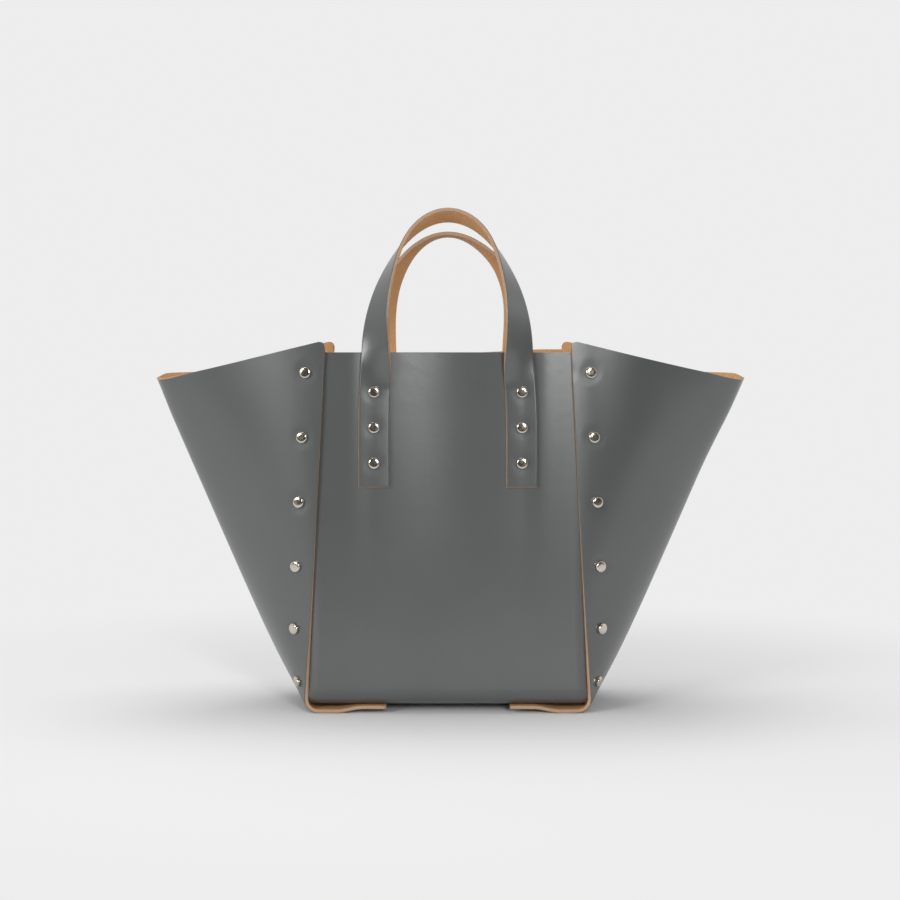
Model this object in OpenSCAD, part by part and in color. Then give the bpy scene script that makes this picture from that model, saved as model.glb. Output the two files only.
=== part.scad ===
// Riveted leather tote with two flared side panels and two twisted strap handles.
// Millimetres. X runs across the bag, Y from the front (-) to the back (+), Z up from the floor.
// Every sheet is a grid of points that a rule works out, thickened along its own normals.

/* [Leather] */
// Thickness of the body leather
leather_t = 3.2; // [2.4:0.1:3.6]
// Running clearance between two sheets that are riveted together
sheet_gap = 0.25; // [0.2:0.05:0.35]

/* [Main panel] */
// Height of the main panel's top edge above the floor
panel_top = 297; // [270:1:320]
// Depth of the body between its front and back faces
body_depth = 130; // [110:1:150]
// Visible width of the front at its top edge
front_w_top = 201.5; // [180:0.5:215]
// Visible width of the front at the floor
front_w_base = 231; // [220:1:245]
// Outer radius of the roll between the front and the base
roll_r = 15; // [12:0.5:20]
// Width of the margin that goes under each side panel
margin_w = 30; // [26:1:34]
// Length of leather in the bend between the front and its margin
bend_len = 11; // [9:0.5:13]

/* [Side panels] */
// Distance from the middle of the bag to each wing tip
tip_x = 249; // [230:1:270]
// Height of the rim at the wing tip
tip_z = 274; // [255:1:290]
// Height of the rim at the seam corners
corner_z = 307; // [299:1:320]
// Radius of the rounded seam corners
corner_r = 6.5; // [4:0.5:9]
// Distance from the middle of the bag to the outside of the floor fold
fold_x = 119; // [116:1:124]
// How far the wall swells out just above the fold
fold_swell = 10; // [6:1:14]
// Height over which that swell grows
swell_h = 30; // [24:1:40]
// Turn of the seam edge at the top, from facing front
turn_top = 4; // [2:0.5:8]
// Height over which the seam edge turns from facing front to facing sideways
turn_h = 55; // [48:1:62]
// Reach of the tight bend at the wing tip
tip_reach = 20; // [16:1:26]

/* [Base tabs] */
// How far each tab's edge lies behind the front face
tab_setback = 5; // [3:0.5:9]
// Distance from the middle of the bag to the free end of each tab
tab_end_x = 51; // [44:1:56]
// Where the tab starts to rise from the floor
tab_rise_x = 92; // [86:1:98]
// Length of leather over which it rises
tab_rise_len = 22; // [16:1:24]

/* [Handles] */
// Width of the straps
strap_w = 25; // [20:0.5:28]
// Thickness of the straps
strap_t = 3.2; // [2.4:0.1:3.8]
// Distance from the middle of the bag to the middle of each strap
strap_x = 60.6; // [54:0.2:66]
// Height of the handle's arch above the panel's top edge
handle_rise = 114.7; // [95:0.1:135]
// Length of strap riveted below the panel's top edge
strap_drop = 110.4; // [104:0.2:120]
// Drop of the first strap rivet below the panel's top edge
strap_rivet_drop = 32.5; // [28:0.5:38]
// Spacing of the strap rivets
strap_rivet_pitch = 29.1; // [24:0.1:32]
// Height of the bend line above the panel's top edge
bend_rise = 2.5; // [2.2:0.1:5]
// Clearance between the fixed and the moving part of a strap
bend_gap = 0.3; // [0.25:0.05:0.5]
// How far the top of the arch leans over the mouth
arch_lean = 12; // [6:1:18]

/* [Rivets] */
// Diameter of the caps
cap_d = 9.3; // [8:0.1:10]
// Height of the caps
cap_h = 2.6; // [2:0.1:3]
// Diameter of the posts
post_d = 3.6; // [3:0.1:4]
// Clearance of a post in the leather, on the radius
post_gap = 0.2; // [0.1:0.05:0.3]
// Rivets on each seam
seam_rivets = 6; // [4:1:6]
// Height of the lowest seam rivet above the floor
seam_rivet_low = 25; // [24:0.5:34]
// Drop of the first seam rivet below the panel's top edge
seam_rivet_drop = 16.6; // [12:0.1:24]
// Distance of the seam rivets from the cut edge
seam_rivet_inset = 15; // [12:0.5:17]
// Rivets on each base tab, an even number
tab_rivets = 4; // [2:2:4]
// Distance of the outermost base tab rivets from the tab's long edges
tab_rivet_side = 15; // [13:1:22]
// Distance of the base tab rivets from the tab's free end
tab_rivet_inset = 11; // [9:0.5:13]

/* [Hidden] */
leather_colour = "#5f6163";
nickel_colour = "#c9c5bd";
half_depth = body_depth / 2;
tab_half = half_depth - tab_setback;
// The leather is hollow under some caps, so each cap stands this much clear of it
seat_gap = 0.25;
// The tab clears the floor by its rivet caps, and the base panel lies on the tab
cap_floor_gap = 0.2;
tab_lift = cap_h + seat_gap + cap_floor_gap;
base_z = tab_lift + leather_t + sheet_gap;
// Height at which the rounded floor fold ends and the side wall starts
wall_z = 12;
// How far the floor fold reaches in under the wall, and how fully its curve is drawn out
fold_run = 13;
fold_start_x = fold_x - fold_run;
fold_pull = 0.42;
// How much further than a third of the way to the wall the seam's heading carries on
edge_pull = 10;
// How much wider the upper seam rivets' spacing is than the mean, and how late it narrows
seam_crowding = 0.04;
seam_crowding_power = 8;
// Shape of the rim between corner and tip
rim_power = 1.35;
// Shares of the corner's radius at which its rounding is drawn
edge_steps = [0, 0.12, 0.4, 0.7, 1];
// Numbers of steps in the grids, and the power that crowds their rows towards the floor
path_steps = 10;
wall_rows = 20;
fold_rows = 6;
tab_rows = 6;
margin_steps = 5;
bend_steps = 4;
roll_steps = 5;
front_rows = 18;
row_crowding = 1.4;
// Length of the margin that is left beside the roll and the base
stub_margin = 1.5;
// Length over which the margin widens, and how far below the top of the roll it starts to
margin_taper = 12;
margin_start = 8;
// How much shorter the bend beside the base is than the bend beside the front
base_bend_cut = 0.35;
arch_steps = 36;
// Twist of the strap where it leaves the panel, and its growth up to the top of the arch
twist_base = 28;
twist_rate = 1.06;
// Part of the arch over which the twist starts, in degrees of the arch
twist_run = 12;
// How much the growth of the twist slackens by the top of the arch
twist_ease = 0.18;
// The rounded lower end of the loop is this much smaller than the strap
round_in = 0.1;
// Straight side and chamfer of a cap, and how far the post goes into its socket
cap_rim = 0.5;
cap_chamfer = 0.2;
post_reach = 1.4;
// Clearances of the post in the socket, on the radius and at the end
socket_gap = 0.1;
socket_end_gap = 0.2;
round_fn = 48;

// Vector helpers
function unit(v) = v / norm(v);
function total(v, i = 0) = i == len(v) ? 0 : v[i] + total(v, i + 1);
function smooth(t) = let (c = min(1, max(0, t))) c * c * (3 - 2 * c);
function bezier(p, t) = pow(1 - t, 3) * p[0] + 3 * t * pow(1 - t, 2) * p[1]
    + 3 * t * t * (1 - t) * p[2] + pow(t, 3) * p[3];

// Heading of the leather at the seam edge: 0 faces front, 90 faces sideways
function turn(z) = turn_top + (90 - turn_top) * exp(-z / turn_h);
function bend_radius(z) = bend_len / (turn(z) * PI / 180);
function edge_x(z) = (front_w_base + (front_w_top - front_w_base) * z / panel_top) / 2;
function edge_y(z) = -half_depth + bend_radius(z) * (1 - cos(turn(z)));

// Outer silhouette of the side wall, and the joint face of the leather behind it
wall_lean = (tip_x - fold_x - fold_swell) / tip_z;
function wall_x(z) = fold_x + wall_lean * z + fold_swell * (1 - exp(-z / swell_h));
function mid_x(z) = wall_x(z) - leather_t / cos(atan(wall_lean));

// Half of the wall's section at height z, from the cut edge (t = 0) to the middle (t = 1)
function path_ctrl(z) = let (e = [edge_x(z), edge_y(z)], m = mid_x(z), run = (m - e.x) / 3 + edge_pull)
    [e, e + run * [cos(turn(z)), sin(turn(z))], [m, -tip_reach], [m, 0]];
function path(z, t) = bezier(path_ctrl(z), t);
function path_len(z, t, n = 8) = let (c = path_ctrl(z))
    total([for (i = [0:n - 1]) norm(bezier(c, t * (i + 1) / n) - bezier(c, t * i / n))]);
function path_at(z, s, tries = 4, t = 0.1) = s == 0 ? 0 : tries == 0 ? t
    : path_at(z, s, tries - 1, t * s / path_len(z, t));

// A point on the seam's joint face and its outward normal, s from the cut edge
function seam_point(z, s) = let (p = path(z, path_at(z, s))) [p.x, p.y, z];
function seam_normal(z, s) = unit(cross(seam_point(z, s + 1) - seam_point(z, s - 1),
    seam_point(z + 1, s) - seam_point(z - 1, s)));

// Heights of the seam rivets: even along the leather, so the lowest come closer where it leans out
function seam_rivet_z(i) = let (top = panel_top - seam_rivet_drop, t = i / (seam_rivets - 1))
    top - (top - seam_rivet_low) * (t + seam_crowding * (t - pow(t, seam_crowding_power)));

// Solid between two grids of points with the same rows and columns, the first on the joint side.
// A twisted cell is split along the diagonal further from the joint, so lapped sheets stay clear.
function quad(a, b, c, d) = [[a, b, c], [a, c, d]];
function split(points, q, away) = let (p = [for (i = q) points[i]])
    (p[0] + p[2] - p[1] - p[3]) * away > 0 ? quad(q[0], q[1], q[2], q[3])
        : quad(q[1], q[2], q[3], q[0]);
module sheet_between(joint_side, free_side) {
    rows = len(joint_side);
    cols = len(joint_side[0]);
    n = rows * cols;
    last = (rows - 1) * cols;
    points = concat([for (row = joint_side) each row], [for (row = free_side) each row]);
    polyhedron(
        points = points,
        faces = concat(
            [for (i = [0:rows - 2], j = [0:cols - 2]) let (p = i * cols + j)
                each split(points, [p, p + cols, p + cols + 1, p + 1], points[p + n] - points[p])],
            [for (i = [0:rows - 2], j = [0:cols - 2]) let (p = n + i * cols + j)
                each split(points, [p, p + 1, p + cols + 1, p + cols], points[p] - points[p - n])],
            [for (i = [0:rows - 2]) let (p = i * cols) each quad(p, p + n, p + n + cols, p + cols)],
            [for (i = [0:rows - 2]) let (p = i * cols + cols - 1)
                each quad(p, p + cols, p + n + cols, p + n)],
            [for (j = [0:cols - 2]) each quad(j, j + 1, j + 1 + n, j + n)],
            [for (j = [0:cols - 2]) let (p = last + j) each quad(p, p + n, p + n + 1, p + 1)]));
}

// Normal of a grid at one of its points, from its neighbours
function grid_normal(g, i, j) = let (r = len(g) - 1, c = len(g[0]) - 1)
    unit(cross(g[i][min(c, j + 1)] - g[i][max(0, j - 1)], g[min(r, i + 1)][j] - g[max(0, i - 1)][j]));
function offset_grid(g, d) = [for (i = [0:len(g) - 1])
    [for (j = [0:len(g[0]) - 1]) g[i][j] + d * grid_normal(g, i, j)]];

// Side panel on the right. Column k counts from a cut edge (0) to the middle of the wall.
half_cols = len(edge_steps) + path_steps;
function col_t(z, k) = let (e = len(edge_steps))
    k < e ? path_at(z, edge_steps[k] * corner_r)
    : k == e ? path_at(z, seam_rivet_inset)
    : let (t0 = path_at(z, seam_rivet_inset)) t0 + (1 - t0) * (k - e) / path_steps;
function rim_z(k) = let (t = col_t(corner_z, k), s = path_len(corner_z, t),
    far = max(0, 1 - s / path_len(corner_z, 1)), e = max(0, corner_r - s))
    tip_z + (corner_z - tip_z) * pow(far, rim_power) - corner_r + sqrt(corner_r * corner_r - e * e);
function mirror_y(p, side) = [p.x, p.y * side, p.z];
// The rim is rounded down into the cut edge by the whole corner radius
rims = [for (k = [0:half_cols]) rim_z(k)];
function wall_point(u, k) = let (z = wall_z + (rims[k] - wall_z) * u, p = path(z, col_t(z, k)))
    [p.x, p.y, z];
function tab_z(x) = leather_t + sheet_gap / 2 + tab_lift * smooth((tab_rise_x - x) / tab_rise_len);
function tab_point(x, k) = [x, wall_point(0, k).y * tab_half / -wall_point(0, 0).y, tab_z(x)];
function fold_point(t, k) = let (a = tab_point(fold_start_x, k), b = wall_point(0, k),
    up = unit(wall_point(0.01, k) - b), reach = norm(b - a) * fold_pull)
    bezier([a, a + [reach, 0, 0], b - reach * up, b], t);
tab_xs = concat([tab_end_x],
    [for (i = [0:tab_rows]) tab_rise_x - tab_rise_len * (1 - i / tab_rows)], [fold_start_x]);
function side_row(kind, v) = [for (j = [0:2 * half_cols])
    let (k = j <= half_cols ? j : 2 * half_cols - j, side = j <= half_cols ? 1 : -1)
    mirror_y(kind == 0 ? tab_point(v, k) : kind == 1 ? fold_point(v, k) : wall_point(v, k), side)];

module side_panel() {
    grid = concat(
        [for (x = tab_xs) side_row(0, x)],
        [for (i = [1:fold_rows - 1]) side_row(1, i / fold_rows)],
        [for (i = [0:wall_rows]) side_row(2, pow(i / wall_rows, row_crowding))]);
    flat = [for (i = [0:len(grid) - 1]) i >= len(tab_xs) - 2 && i < len(tab_xs)];
    normals = [for (i = [0:len(grid) - 1]) [for (j = [0:2 * half_cols])
        flat[i] ? [0, 0, -1] : grid_normal(grid, i, j)]];
    inner = grid + sheet_gap / 2 * normals;
    outer = grid + (leather_t + sheet_gap / 2) * normals;
    color(leather_colour) difference() {
        sheet_between(inner, outer);
        both_seams() post_hole();
        at_tab_rivets() post_hole();
    }
}

// Main panel: one row of points per step from the front's top edge round the base to the back's
function row_heading(row) = row[2] == 0 ? turn(row[1]) : turn(base_z + roll_r) * (1 - row[2] / 90);
function row_bend_len(row) = bend_len * (1 - base_bend_cut * row[2] / 90);
function row_margin(row) = row[2] > 0 ? stub_margin
    : stub_margin + (margin_w - stub_margin)
        * smooth((row[1] - base_z - roll_r + margin_start) / margin_taper);
// A row is its y, its z and its tilt: 0 on the front, 90 on the base
function row_half(row) =
    let (h = row_heading(row), len_b = row_bend_len(row), z = row[1], tilt = row[2],
        base_row = base_z + roll_r,
        straight = edge_x(tilt == 0 ? z : base_row)
            - (tilt == 0 ? bend_radius(z) * sin(turn(z)) : bend_radius(base_row) * sin(turn(base_row))),
        r = len_b / (max(0.01, h) * PI / 180),
        bend = [for (i = [0:bend_steps]) let (a = max(0.01, h) * i / bend_steps)
            [straight + r * sin(a), r * (1 - cos(a))]],
        tip = bend[bend_steps])
    concat(bend, [for (i = [1:margin_steps]) let (s = row_margin(row) * i / margin_steps)
        tilt == 0 ? let (p = path(z, path_at(z, s))) [p.x, p.y + half_depth]
        : tip + s * [cos(h), sin(h)]]);
function main_row(row) = let (half = row_half(row), n = len(half) - 1)
    [for (i = [0:2 * n + 1])
        let (q = i <= n ? half[n - i] : half[i - n - 1], side = i <= n ? -1 : 1)
        [side * q.x, row[0] + q.y * cos(row[2]), row[1] + q.y * sin(row[2])]];
front_z = [for (i = [0:front_rows]) panel_top - (panel_top - base_z - roll_r)
    * (1 - pow(1 - i / front_rows, row_crowding))];
front_half = concat(
    [for (z = front_z) [-half_depth, z, 0]],
    [for (i = [1:roll_steps]) let (a = 90 * i / roll_steps)
        [-half_depth + roll_r * (1 - cos(a)), base_z + roll_r * (1 - sin(a)), a]]);

module main_panel() {
    front = [for (row = front_half) main_row(row)];
    n = len(front) - 1;
    grid = concat(front, [for (i = [0:n]) [for (p = front[n - i]) [p.x, -p.y, p.z]]]);
    color(leather_colour) difference() {
        sheet_between(offset_grid(grid, sheet_gap / 2),
            offset_grid(grid, leather_t + sheet_gap / 2));
        for (x = [0, 1]) mirror([x, 0, 0]) {
            both_seams() post_hole();
            at_tab_rivets() post_hole();
            for (y = [0, 1]) mirror([0, y, 0]) at_strap_rivets() post_hole();
        }
    }
}

// Placing of the rivets: +Z of the child points out of the leather, its origin on the joint face
module along(n) rotate([0, acos(n.z), atan2(n.y, n.x)]) children();
module at_seam_rivets() for (i = [0:seam_rivets - 1]) {
    z = seam_rivet_z(i);
    translate(seam_point(z, seam_rivet_inset)) along(seam_normal(z, seam_rivet_inset)) children();
}
module both_seams() for (y = [0, 1]) mirror([0, y, 0]) at_seam_rivets() children();
module at_tab_rivets() for (i = [0:tab_rivets - 1])
    translate([tab_end_x + tab_rivet_inset, (tab_half - tab_rivet_side) * (2 * i / (tab_rivets - 1) - 1),
        tab_lift + leather_t + sheet_gap / 2]) rotate([180, 0, 0]) children();
module at_strap_rivets() for (i = [0:2])
    translate([strap_x, -half_depth, panel_top - strap_rivet_drop - i * strap_rivet_pitch])
        rotate([90, 0, 0]) children();
module post_hole() cylinder(h = 4 * leather_t, r = post_d / 2 + post_gap, center = true, $fn = round_fn);

// A rivet is a domed cap on a post, and a second cap that the post is set into
back_seat = leather_t + sheet_gap / 2 + seat_gap;
module dome() rotate_extrude($fn = round_fn) polygon(concat([[0, 0], [cap_d / 2 - cap_chamfer, 0],
    [cap_d / 2, cap_chamfer], [cap_d / 2, cap_rim]],
    [for (a = [15:15:90]) [cap_d / 2 * cos(a), cap_rim + (cap_h - cap_rim) * sin(a)]]));
module cap_and_post(outer_t) {
    seat = outer_t + sheet_gap / 2 + seat_gap;
    color(nickel_colour) union() {
        translate([0, 0, seat]) dome();
        translate([0, 0, -back_seat - post_reach])
            cylinder(h = seat + back_seat + post_reach, r = post_d / 2, $fn = round_fn);
    }
}
module back_cap() color(nickel_colour) translate([0, 0, -back_seat]) rotate([180, 0, 0])
    difference() {
        dome();
        cylinder(h = 2 * (post_reach + socket_end_gap), r = post_d / 2 + socket_gap, center = true,
            $fn = round_fn);
    }

// Handles: the strap is riveted flat, bends on one line above the panel and twists into its arch
strap_y = -half_depth - sheet_gap / 2 - strap_t / 2;
bend_z = panel_top + bend_rise;
function arch_centre(a) = [-strap_x * cos(a), strap_y + arch_lean * pow(sin(a), 2),
    bend_z + (handle_rise - bend_rise) * sin(a)];
function arch_twist(a) = let (b = min(a, 180 - a))
    twist_base * smooth(b / twist_run) + twist_rate * b * (1 - twist_ease * pow(b / 90, 4));
function arch_ring(a) = let (
    t = unit(arch_centre(a + 0.5) - arch_centre(a - 0.5)),
    out = unit(cross([0, 1, 0], t)),
    n = unit(cos(arch_twist(a)) * cross(out, t) * -1 + sin(arch_twist(a)) * out),
    b = cross(t, n), c = arch_centre(a))
    [for (q = [[-1, -1], [1, -1], [1, 1], [-1, 1]])
        c + q[0] * strap_w / 2 * b + q[1] * strap_t / 2 * n];
module tube_of(rings) {
    n = len(rings);
    m = len(rings[0]);
    polyhedron(points = [for (r = rings) each r],
        faces = concat(
            [for (i = [0:n - 2], j = [0:m - 1]) let (a = i * m + j, b = i * m + (j + 1) % m)
                each quad(a, b, b + m, a + m)],
            [[for (j = [0:m - 1]) m - 1 - j]],
            [[for (j = [0:m - 1]) (n - 1) * m + j]]));
}
module handle_loop() color(leather_colour) {
    tube_of([for (i = [0:arch_steps]) arch_ring(180 * i / arch_steps)]);
    for (x = [-1, 1]) translate([x * strap_x, strap_y, bend_z]) rotate([0, 90, 0])
        cylinder(h = strap_w - 2 * round_in, r = strap_t / 2 - round_in, center = true, $fn = round_fn);
}
module strap_tab() color(leather_colour) difference() {
    translate([strap_x - strap_w / 2, strap_y - strap_t / 2, panel_top - strap_drop])
        cube([strap_w, strap_t, strap_drop + bend_rise - strap_t / 2 - bend_gap]);
    at_strap_rivets() post_hole();
}

module left() mirror([1, 0, 0]) children();
module back() mirror([0, 1, 0]) children();
module seam_caps() at_seam_rivets() cap_and_post(leather_t);
module seam_backs() at_seam_rivets() back_cap();
module strap_caps() at_strap_rivets() cap_and_post(strap_t);
module strap_backs() at_strap_rivets() back_cap();
module tab_caps() at_tab_rivets() cap_and_post(leather_t);
module tab_backs() at_tab_rivets() back_cap();

main_panel();
left() side_panel();  // left_side_panel
side_panel();  // right_side_panel
handle_loop();  // front_handle_loop
left() strap_tab();  // front_handle_left_tab
strap_tab();  // front_handle_right_tab
back() handle_loop();  // back_handle_loop
back() left() strap_tab();  // back_handle_left_tab
back() strap_tab();  // back_handle_right_tab
left() seam_caps();  // front_left_seam_caps
left() seam_backs();  // front_left_seam_backs
seam_caps();  // front_right_seam_caps
seam_backs();  // front_right_seam_backs
back() left() seam_caps();  // back_left_seam_caps
back() left() seam_backs();  // back_left_seam_backs
back() seam_caps();  // back_right_seam_caps
back() seam_backs();  // back_right_seam_backs
left() strap_caps();  // front_handle_left_caps
left() strap_backs();  // front_handle_left_backs
strap_caps();  // front_handle_right_caps
strap_backs();  // front_handle_right_backs
back() left() strap_caps();  // back_handle_left_caps
back() left() strap_backs();  // back_handle_left_backs
back() strap_caps();  // back_handle_right_caps
back() strap_backs();  // back_handle_right_backs
left() tab_caps();  // left_tab_caps
left() tab_backs();  // left_tab_backs
tab_caps();  // right_tab_caps
tab_backs();  // right_tab_backs
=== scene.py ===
"""Looks of a riveted leather tote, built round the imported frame.

The leather follows the same rules as the solids it stands for, drawn finer: rounded and bevelled
cut edges, dents round the rivets, a soft wave in the panels and one twisted strap for each handle.
Small moves give it the uneven sides that the photo shows. Lengths of the bag are millimetres, which
mesh_object() turns into metres. The stage is in metres.
"""
import math

import bpy
import numpy as np
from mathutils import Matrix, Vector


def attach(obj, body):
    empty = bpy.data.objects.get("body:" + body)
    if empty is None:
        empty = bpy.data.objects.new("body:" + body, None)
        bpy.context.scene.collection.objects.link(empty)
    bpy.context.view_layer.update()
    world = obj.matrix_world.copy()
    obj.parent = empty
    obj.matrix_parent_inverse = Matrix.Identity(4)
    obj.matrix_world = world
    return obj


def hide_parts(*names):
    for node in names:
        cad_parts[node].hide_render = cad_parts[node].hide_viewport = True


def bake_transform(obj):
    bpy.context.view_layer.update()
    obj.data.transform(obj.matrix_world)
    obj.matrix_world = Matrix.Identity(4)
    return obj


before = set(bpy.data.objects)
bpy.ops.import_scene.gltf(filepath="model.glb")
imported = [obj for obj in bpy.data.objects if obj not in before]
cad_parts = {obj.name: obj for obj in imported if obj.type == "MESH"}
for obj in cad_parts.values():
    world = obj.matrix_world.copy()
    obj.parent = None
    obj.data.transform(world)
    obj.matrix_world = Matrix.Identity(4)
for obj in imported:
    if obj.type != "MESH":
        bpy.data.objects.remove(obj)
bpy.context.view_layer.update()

MM = 0.001
TINY = 1e-9

# Leather and the shape of the body, as in the solids
LEATHER_T = 3.2
SHEET_GAP = 0.25
HALF_DEPTH = 65.0
PANEL_TOP = 297.0
FRONT_W_TOP, FRONT_W_BASE = 201.5, 231.0
ROLL_R = 15.0
MARGIN_W, STUB_MARGIN = 30.0, 1.5
MARGIN_START, MARGIN_TAPER = 8.0, 12.0
BEND_LEN, BASE_BEND_CUT = 11.0, 0.35
TIP_X, TIP_Z, TIP_REACH = 249.0, 274.0, 20.0
CORNER_Z, CORNER_R = 307.0, 6.5
RIM_POWER = 1.35
FOLD_X, FOLD_SWELL, SWELL_H = 119.0, 10.0, 30.0
FOLD_RUN, FOLD_PULL = 13.0, 0.42
WALL_Z = 12.0
TURN_TOP, TURN_H = 4.0, 55.0
EDGE_PULL = 10.0
TAB_HALF, TAB_END_X = 60.0, 51.0
TAB_RISE_X, TAB_RISE_LEN, TAB_LIFT = 92.0, 22.0, 3.05
BASE_Z = TAB_LIFT + LEATHER_T + SHEET_GAP

# Seam rivets
SEAM_RIVETS = 6
SEAM_RIVET_LOW, SEAM_RIVET_DROP, SEAM_RIVET_INSET = 25.0, 16.6, 15.0
SEAM_CROWDING, SEAM_CROWDING_POWER = 0.04, 8

# Handles
STRAP_W, STRAP_T, STRAP_X = 25.0, 3.2, 60.6
STRAP_Y = HALF_DEPTH + SHEET_GAP / 2 + STRAP_T / 2
STRAP_LOW = PANEL_TOP - 110.4
STRAP_RIVET_Z = [PANEL_TOP - 32.5 - 29.1 * i for i in range(3)]
ARCH_Z = 299.5
ARCH_RISE = 112.2
ARCH_LEAN = 12.0
LEAN_START, LEAN_HIGH, LEAN_FADE, LEAN_END = 238.0, 358.0, 366.0, 402.0
TWIST_PANEL, TWIST_POWER = 27.0, 1.1
FORWARD_TWIST, FORWARD_FADE = 42.0, 85.0
TWIST_START_Z = 266.0

# Fineness of the grids; the side walls' columns crowd at the tip and their rows at the foot
PATH_SAMPLES = 72
EDGE_STEPS, SEAM_STEP, SEAM_BAND = 8, 1.6, 28.0
WALL_COLS, WALL_ROWS, FOLD_ROWS, TAB_STEP = 34, 140, 14, 2.4
WALL_CROWDING = 1.25

# Cut edges: width of the bevel on the coated side and on the flesh side, and the swell between
BEVEL_COAT, BEVEL_FLESH, EDGE_SWELL = 0.06, 0.25, 0.06
MITRE_LIMIT = 0.7
# Kinds of faces, in the order of a sheet's materials
COAT, CUT, FLESH = 0, 1, 2

# The coat is rounded over where the leather is cut: width and depth of the round
ROUND_W, ROUND_DEPTH = 1.1, 0.55

# Dents that the rivets press into the leather
DENT_DEPTH, DENT_FLAT, DENT_REACH = 0.2, 4.6, 11.5


def smooth(t):
    t = np.clip(t, 0, 1)
    return t * t * (3 - 2 * t)


def unit(v):
    return v / np.maximum(np.linalg.norm(v, axis=-1, keepdims=True), TINY)


# Rules of the shape

def bezier(t, start, second, third, last):
    """Points of a cubic curve at the shares t."""
    return ((1 - t) ** 3 * start + 3 * t * (1 - t) ** 2 * second
            + 3 * t * t * (1 - t) * third + t ** 3 * last)


def turn(z):
    """Heading of the leather at the seam edge in radians: 0 faces front, pi/2 faces sideways."""
    return np.radians(TURN_TOP + (90 - TURN_TOP) * np.exp(-z / TURN_H))


def edge_x(z):
    return (FRONT_W_BASE + (FRONT_W_TOP - FRONT_W_BASE) * z / PANEL_TOP) / 2


def bend_radius(z):
    return BEND_LEN / turn(z)


def edge_y(z):
    return -HALF_DEPTH + bend_radius(z) * (1 - np.cos(turn(z)))


WALL_LEAN = (TIP_X - FOLD_X - FOLD_SWELL) / TIP_Z


def mid_x(z):
    """The joint face of the side wall at the middle of the bag's depth."""
    wall = FOLD_X + WALL_LEAN * z + FOLD_SWELL * (1 - np.exp(-z / SWELL_H))
    return wall - LEATHER_T / math.cos(math.atan(WALL_LEAN))


def path_tables(z):
    """Points and lengths along half a section of the wall, for each height in z."""
    z = np.asarray(z, float)
    heading, start = turn(z), np.stack([edge_x(z), edge_y(z)], -1)
    run = (mid_x(z) - edge_x(z)) / 3 + EDGE_PULL
    second = start + run[..., None] * np.stack([np.cos(heading), np.sin(heading)], -1)
    third = np.stack([mid_x(z), np.full(z.shape, -TIP_REACH)], -1)
    last = np.stack([mid_x(z), np.zeros(z.shape)], -1)
    t = np.linspace(0, 1, PATH_SAMPLES + 1)[:, None]
    points = bezier(t, *(place[..., None, :] for place in (start, second, third, last)))
    steps = np.linalg.norm(np.diff(points, axis=-2), axis=-1)
    length = np.concatenate([np.zeros(z.shape + (1,)), np.cumsum(steps, -1)], -1)
    return points, length


def path_points(z, s):
    """Joint-face points at heights z, s along the leather from the cut edge (same shapes)."""
    points, length = path_tables(z)
    s = np.asarray(s, float)
    index = np.clip((length < s[..., None]).sum(-1) - 1, 0, PATH_SAMPLES - 1)[..., None]
    low = np.take_along_axis(length, index, -1)[..., 0]
    high = np.take_along_axis(length, index + 1, -1)[..., 0]
    before = np.take_along_axis(points, index[..., None], -2)[..., 0, :]
    after = np.take_along_axis(points, index[..., None] + 1, -2)[..., 0, :]
    share = ((s - low) / np.maximum(high - low, TINY))[..., None]
    xy = before + (after - before) * share
    return np.concatenate([xy, np.broadcast_to(z, s.shape)[..., None]], -1)


def path_length(z):
    return path_tables(np.asarray(z, float))[1][..., -1]


def seam_rivets():
    """(point on the joint face, outward normal) of the seam rivets at the front right."""
    top = PANEL_TOP - SEAM_RIVET_DROP
    found = []
    for i in range(SEAM_RIVETS):
        t = i / (SEAM_RIVETS - 1)
        z = top - (top - SEAM_RIVET_LOW) * (t + SEAM_CROWDING * (t - t ** SEAM_CROWDING_POWER))
        near = path_points(np.array([z, z, z, z + 1, z - 1]),
                           SEAM_RIVET_INSET + np.array([0, 1, -1, 0, 0]))
        found.append((near[0], unit(np.cross(near[1] - near[2], near[3] - near[4]))))
    return found


# Grids

def grid_normals(grid):
    """Unit normals of a grid of points, columns crossed with rows."""
    across = np.gradient(grid, axis=1)
    along = np.gradient(grid, axis=0)
    return unit(np.cross(across, along))


def dents(grid, normals, rivets):
    """The grid, pressed in round each rivet."""
    depth = np.zeros(grid.shape[:2])
    for centre, axis in rivets:
        off = grid - centre
        off = off - (off @ axis)[..., None] * axis
        r = np.linalg.norm(off, axis=-1)
        away = smooth((r - DENT_FLAT) / (DENT_REACH - DENT_FLAT))
        depth = np.maximum(depth, DENT_DEPTH * (1 - away))
    return grid - depth[..., None] * normals


def round_over(distance):
    """How far the coat drops at a distance from the cut edge."""
    t = 1 - np.clip(distance / ROUND_W, 0, 1)
    return ROUND_DEPTH * (1 - np.sqrt(1 - t * t))


def side_distance(grid):
    """Distance of each grid point from the nearer end of its row, along the row."""
    steps = np.linalg.norm(np.diff(grid, axis=1), axis=-1)
    run = np.concatenate([np.zeros((len(grid), 1)), np.cumsum(steps, 1)], 1)
    return np.minimum(run, run[:, -1:] - run)


def border_loop(rows, cols):
    """Grid indices round the border, once."""
    top = [(0, c) for c in range(cols)]
    right = [(r, cols - 1) for r in range(1, rows)]
    bottom = [(rows - 1, c) for c in range(cols - 2, -1, -1)]
    left = [(r, 0) for r in range(rows - 2, 0, -1)]
    return top + right + bottom + left


def edge_profile(thick):
    """(distance outwards, height above the flesh side) of the points round a cut edge."""
    corner = 1 - math.sqrt(0.5)
    return [(-BEVEL_COAT * corner, thick - BEVEL_COAT * corner), (0, thick - BEVEL_COAT),
            (EDGE_SWELL, thick * 0.5),
            (0, BEVEL_FLESH), (-BEVEL_FLESH * corner, BEVEL_FLESH * corner)]


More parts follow.
